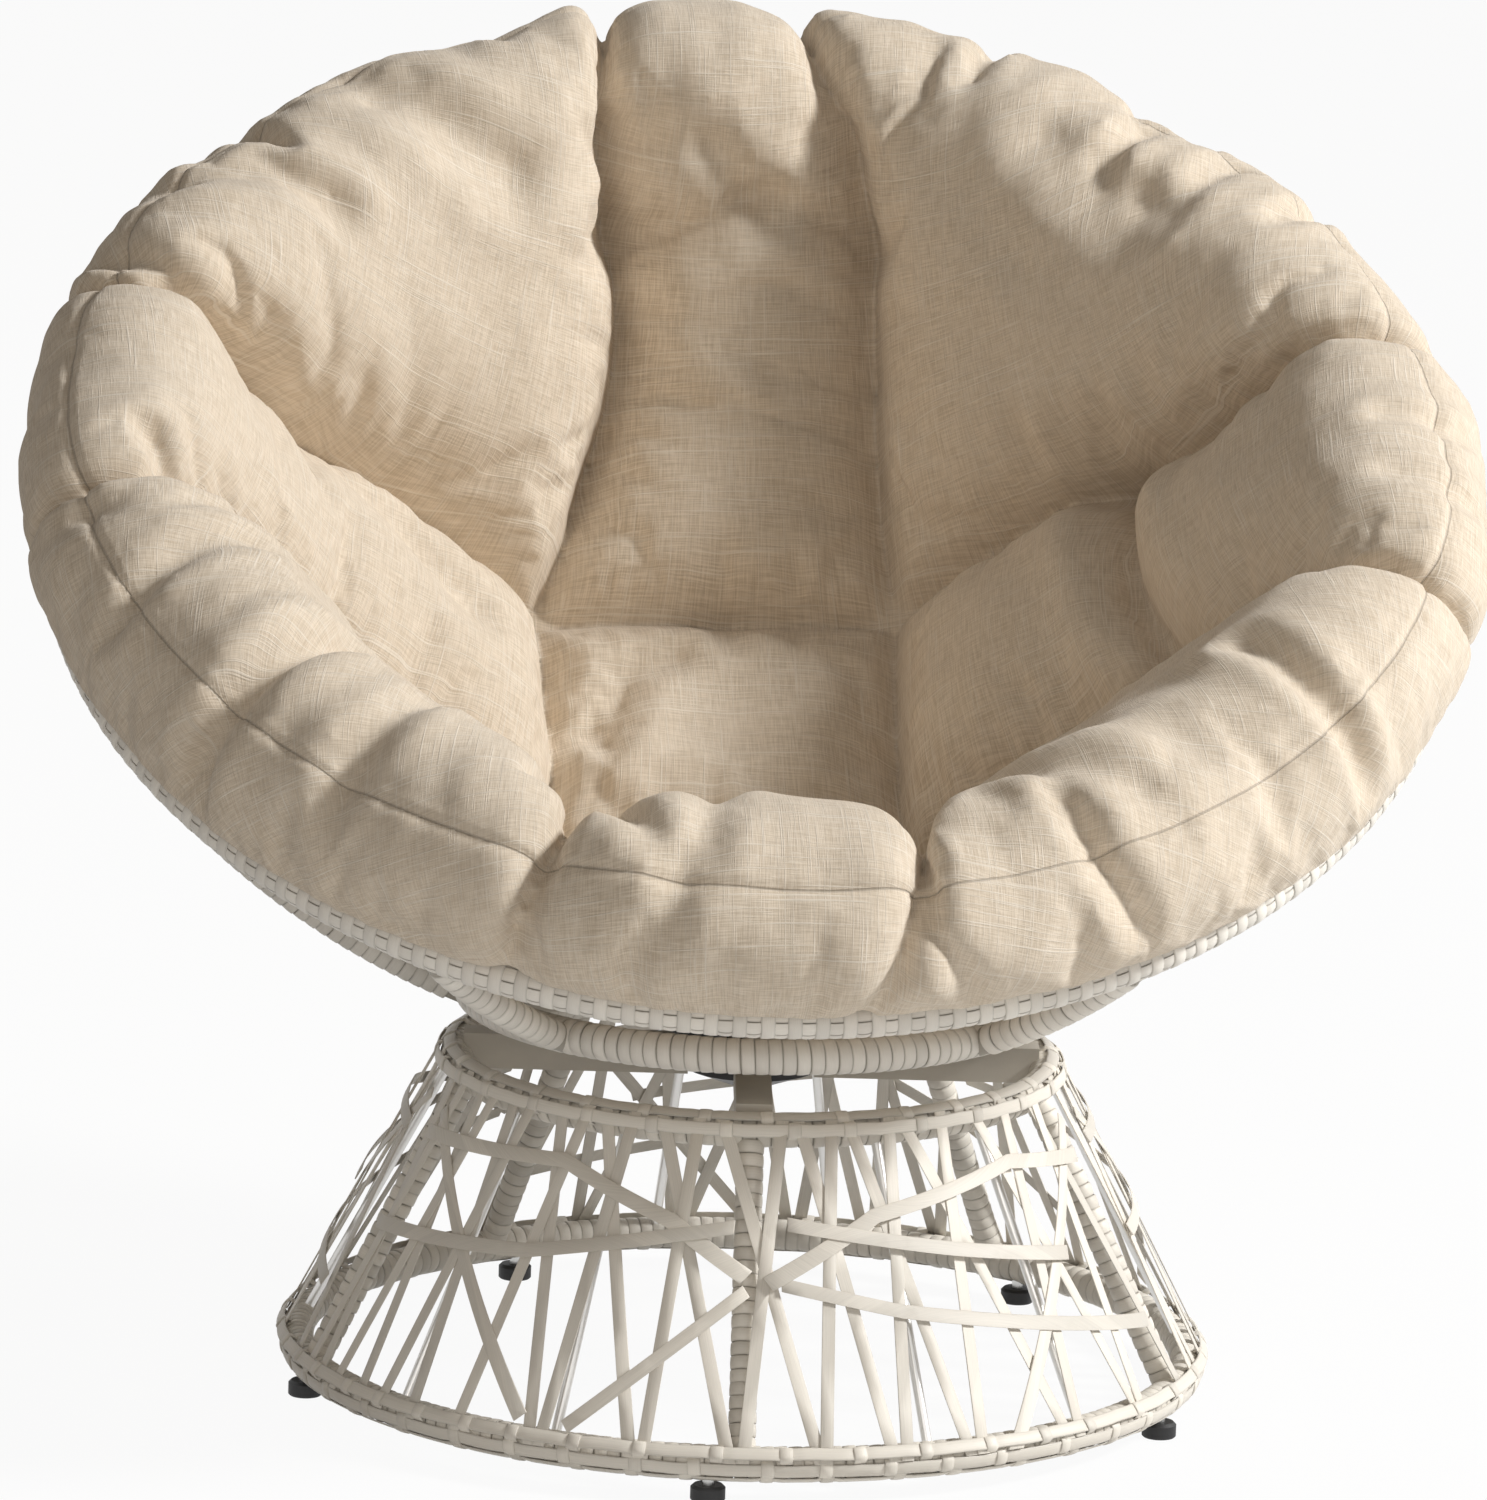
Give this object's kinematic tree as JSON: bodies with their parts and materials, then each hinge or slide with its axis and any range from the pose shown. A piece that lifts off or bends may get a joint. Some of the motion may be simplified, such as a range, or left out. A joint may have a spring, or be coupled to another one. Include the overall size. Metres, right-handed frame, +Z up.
{
  "type": "swivel papasan chair",
  "caption": "Round wicker bowl chair with a deep tufted cushion, tilted back and swivelling on an open-weave drum base.",
  "frame": {"origin": "the swivel axis at floor level, midway between the five feet", "axes": "+Z is up along the swivel axis; at rest the seat faces -Y and +X is the chair's left arm side as seen by someone sitting in it"},
  "size_m": [1.0358, 0.9219, 0.9136],
  "materials": {
    "wicker": "satin",
    "hoop_steel": "satin",
    "rod_steel": "satin",
    "arm_steel": "matte",
    "hub_black": "satin",
    "foot_rubber": "matte",
    "zinc_steel": "satin",
    "nylon": "satin",
    "bearing_steel": "polished",
    "cage_brass": "satin",
    "linen": "matte"
  },
  "bodies": {
    "base": {"floor_hoop": "hoop_steel", "floor_hoop_wrap": "wicker", "floor_hoop_runners": "wicker", "neck_hoop": "hoop_steel", "neck_hoop_wrap": "wicker", "neck_hoop_runners": "wicker", "base_posts": "hoop_steel", "base_post_wraps": "wicker", "base_rods": "rod_steel", "base_cross_arms": "arm_steel", "hub_housing": "hub_black", "weave_right_lean": "wicker", "weave_left_lean": "wicker", "weave_diagonals": "wicker", "weave_bands": "wicker", "rubber_feet": "foot_rubber", "foot_studs": "zinc_steel", "lower_bush": "nylon", "upper_bush": "nylon", "lower_race": "bearing_steel"},
    "bowl": {"upper_race": "bearing_steel", "spindle": "zinc_steel", "spindle_washer": "zinc_steel", "spindle_nut": "zinc_steel", "swivel_plate": "hub_black", "plate_bolts": "zinc_steel", "plate_nuts": "zinc_steel", "bowl_cross_bars": "arm_steel", "seat_hoop": "hoop_steel", "seat_hoop_wrap": "wicker", "bowl_ribs": "hoop_steel", "rib_wraps": "wicker", "rim_hoop": "hoop_steel", "rim_hoop_wrap": "wicker", "bowl_weave_right_lean": "wicker", "bowl_weave_left_lean": "wicker", "bowl_weave_bands": "wicker", "cushion": "linen"},
    "ball_race": {"ball_cage": "cage_brass", "thrust_balls": "bearing_steel"}
  },
  "joints": [
    {"name": "swivel", "type": "hinge", "parent": "base", "child": "bowl", "pos_m": [0, 0, 0.258], "axis": [0, 0, 1], "continuous": true},
    {"name": "ball_race_turn", "type": "hinge", "parent": "base", "child": "ball_race", "pos_m": [0, 0, 0.258], "axis": [0, 0, 1], "continuous": true}
  ],
  "couplings": [
    {"joint": "ball_race_turn", "follows": "swivel", "ratio": 0.5}
  ]
}
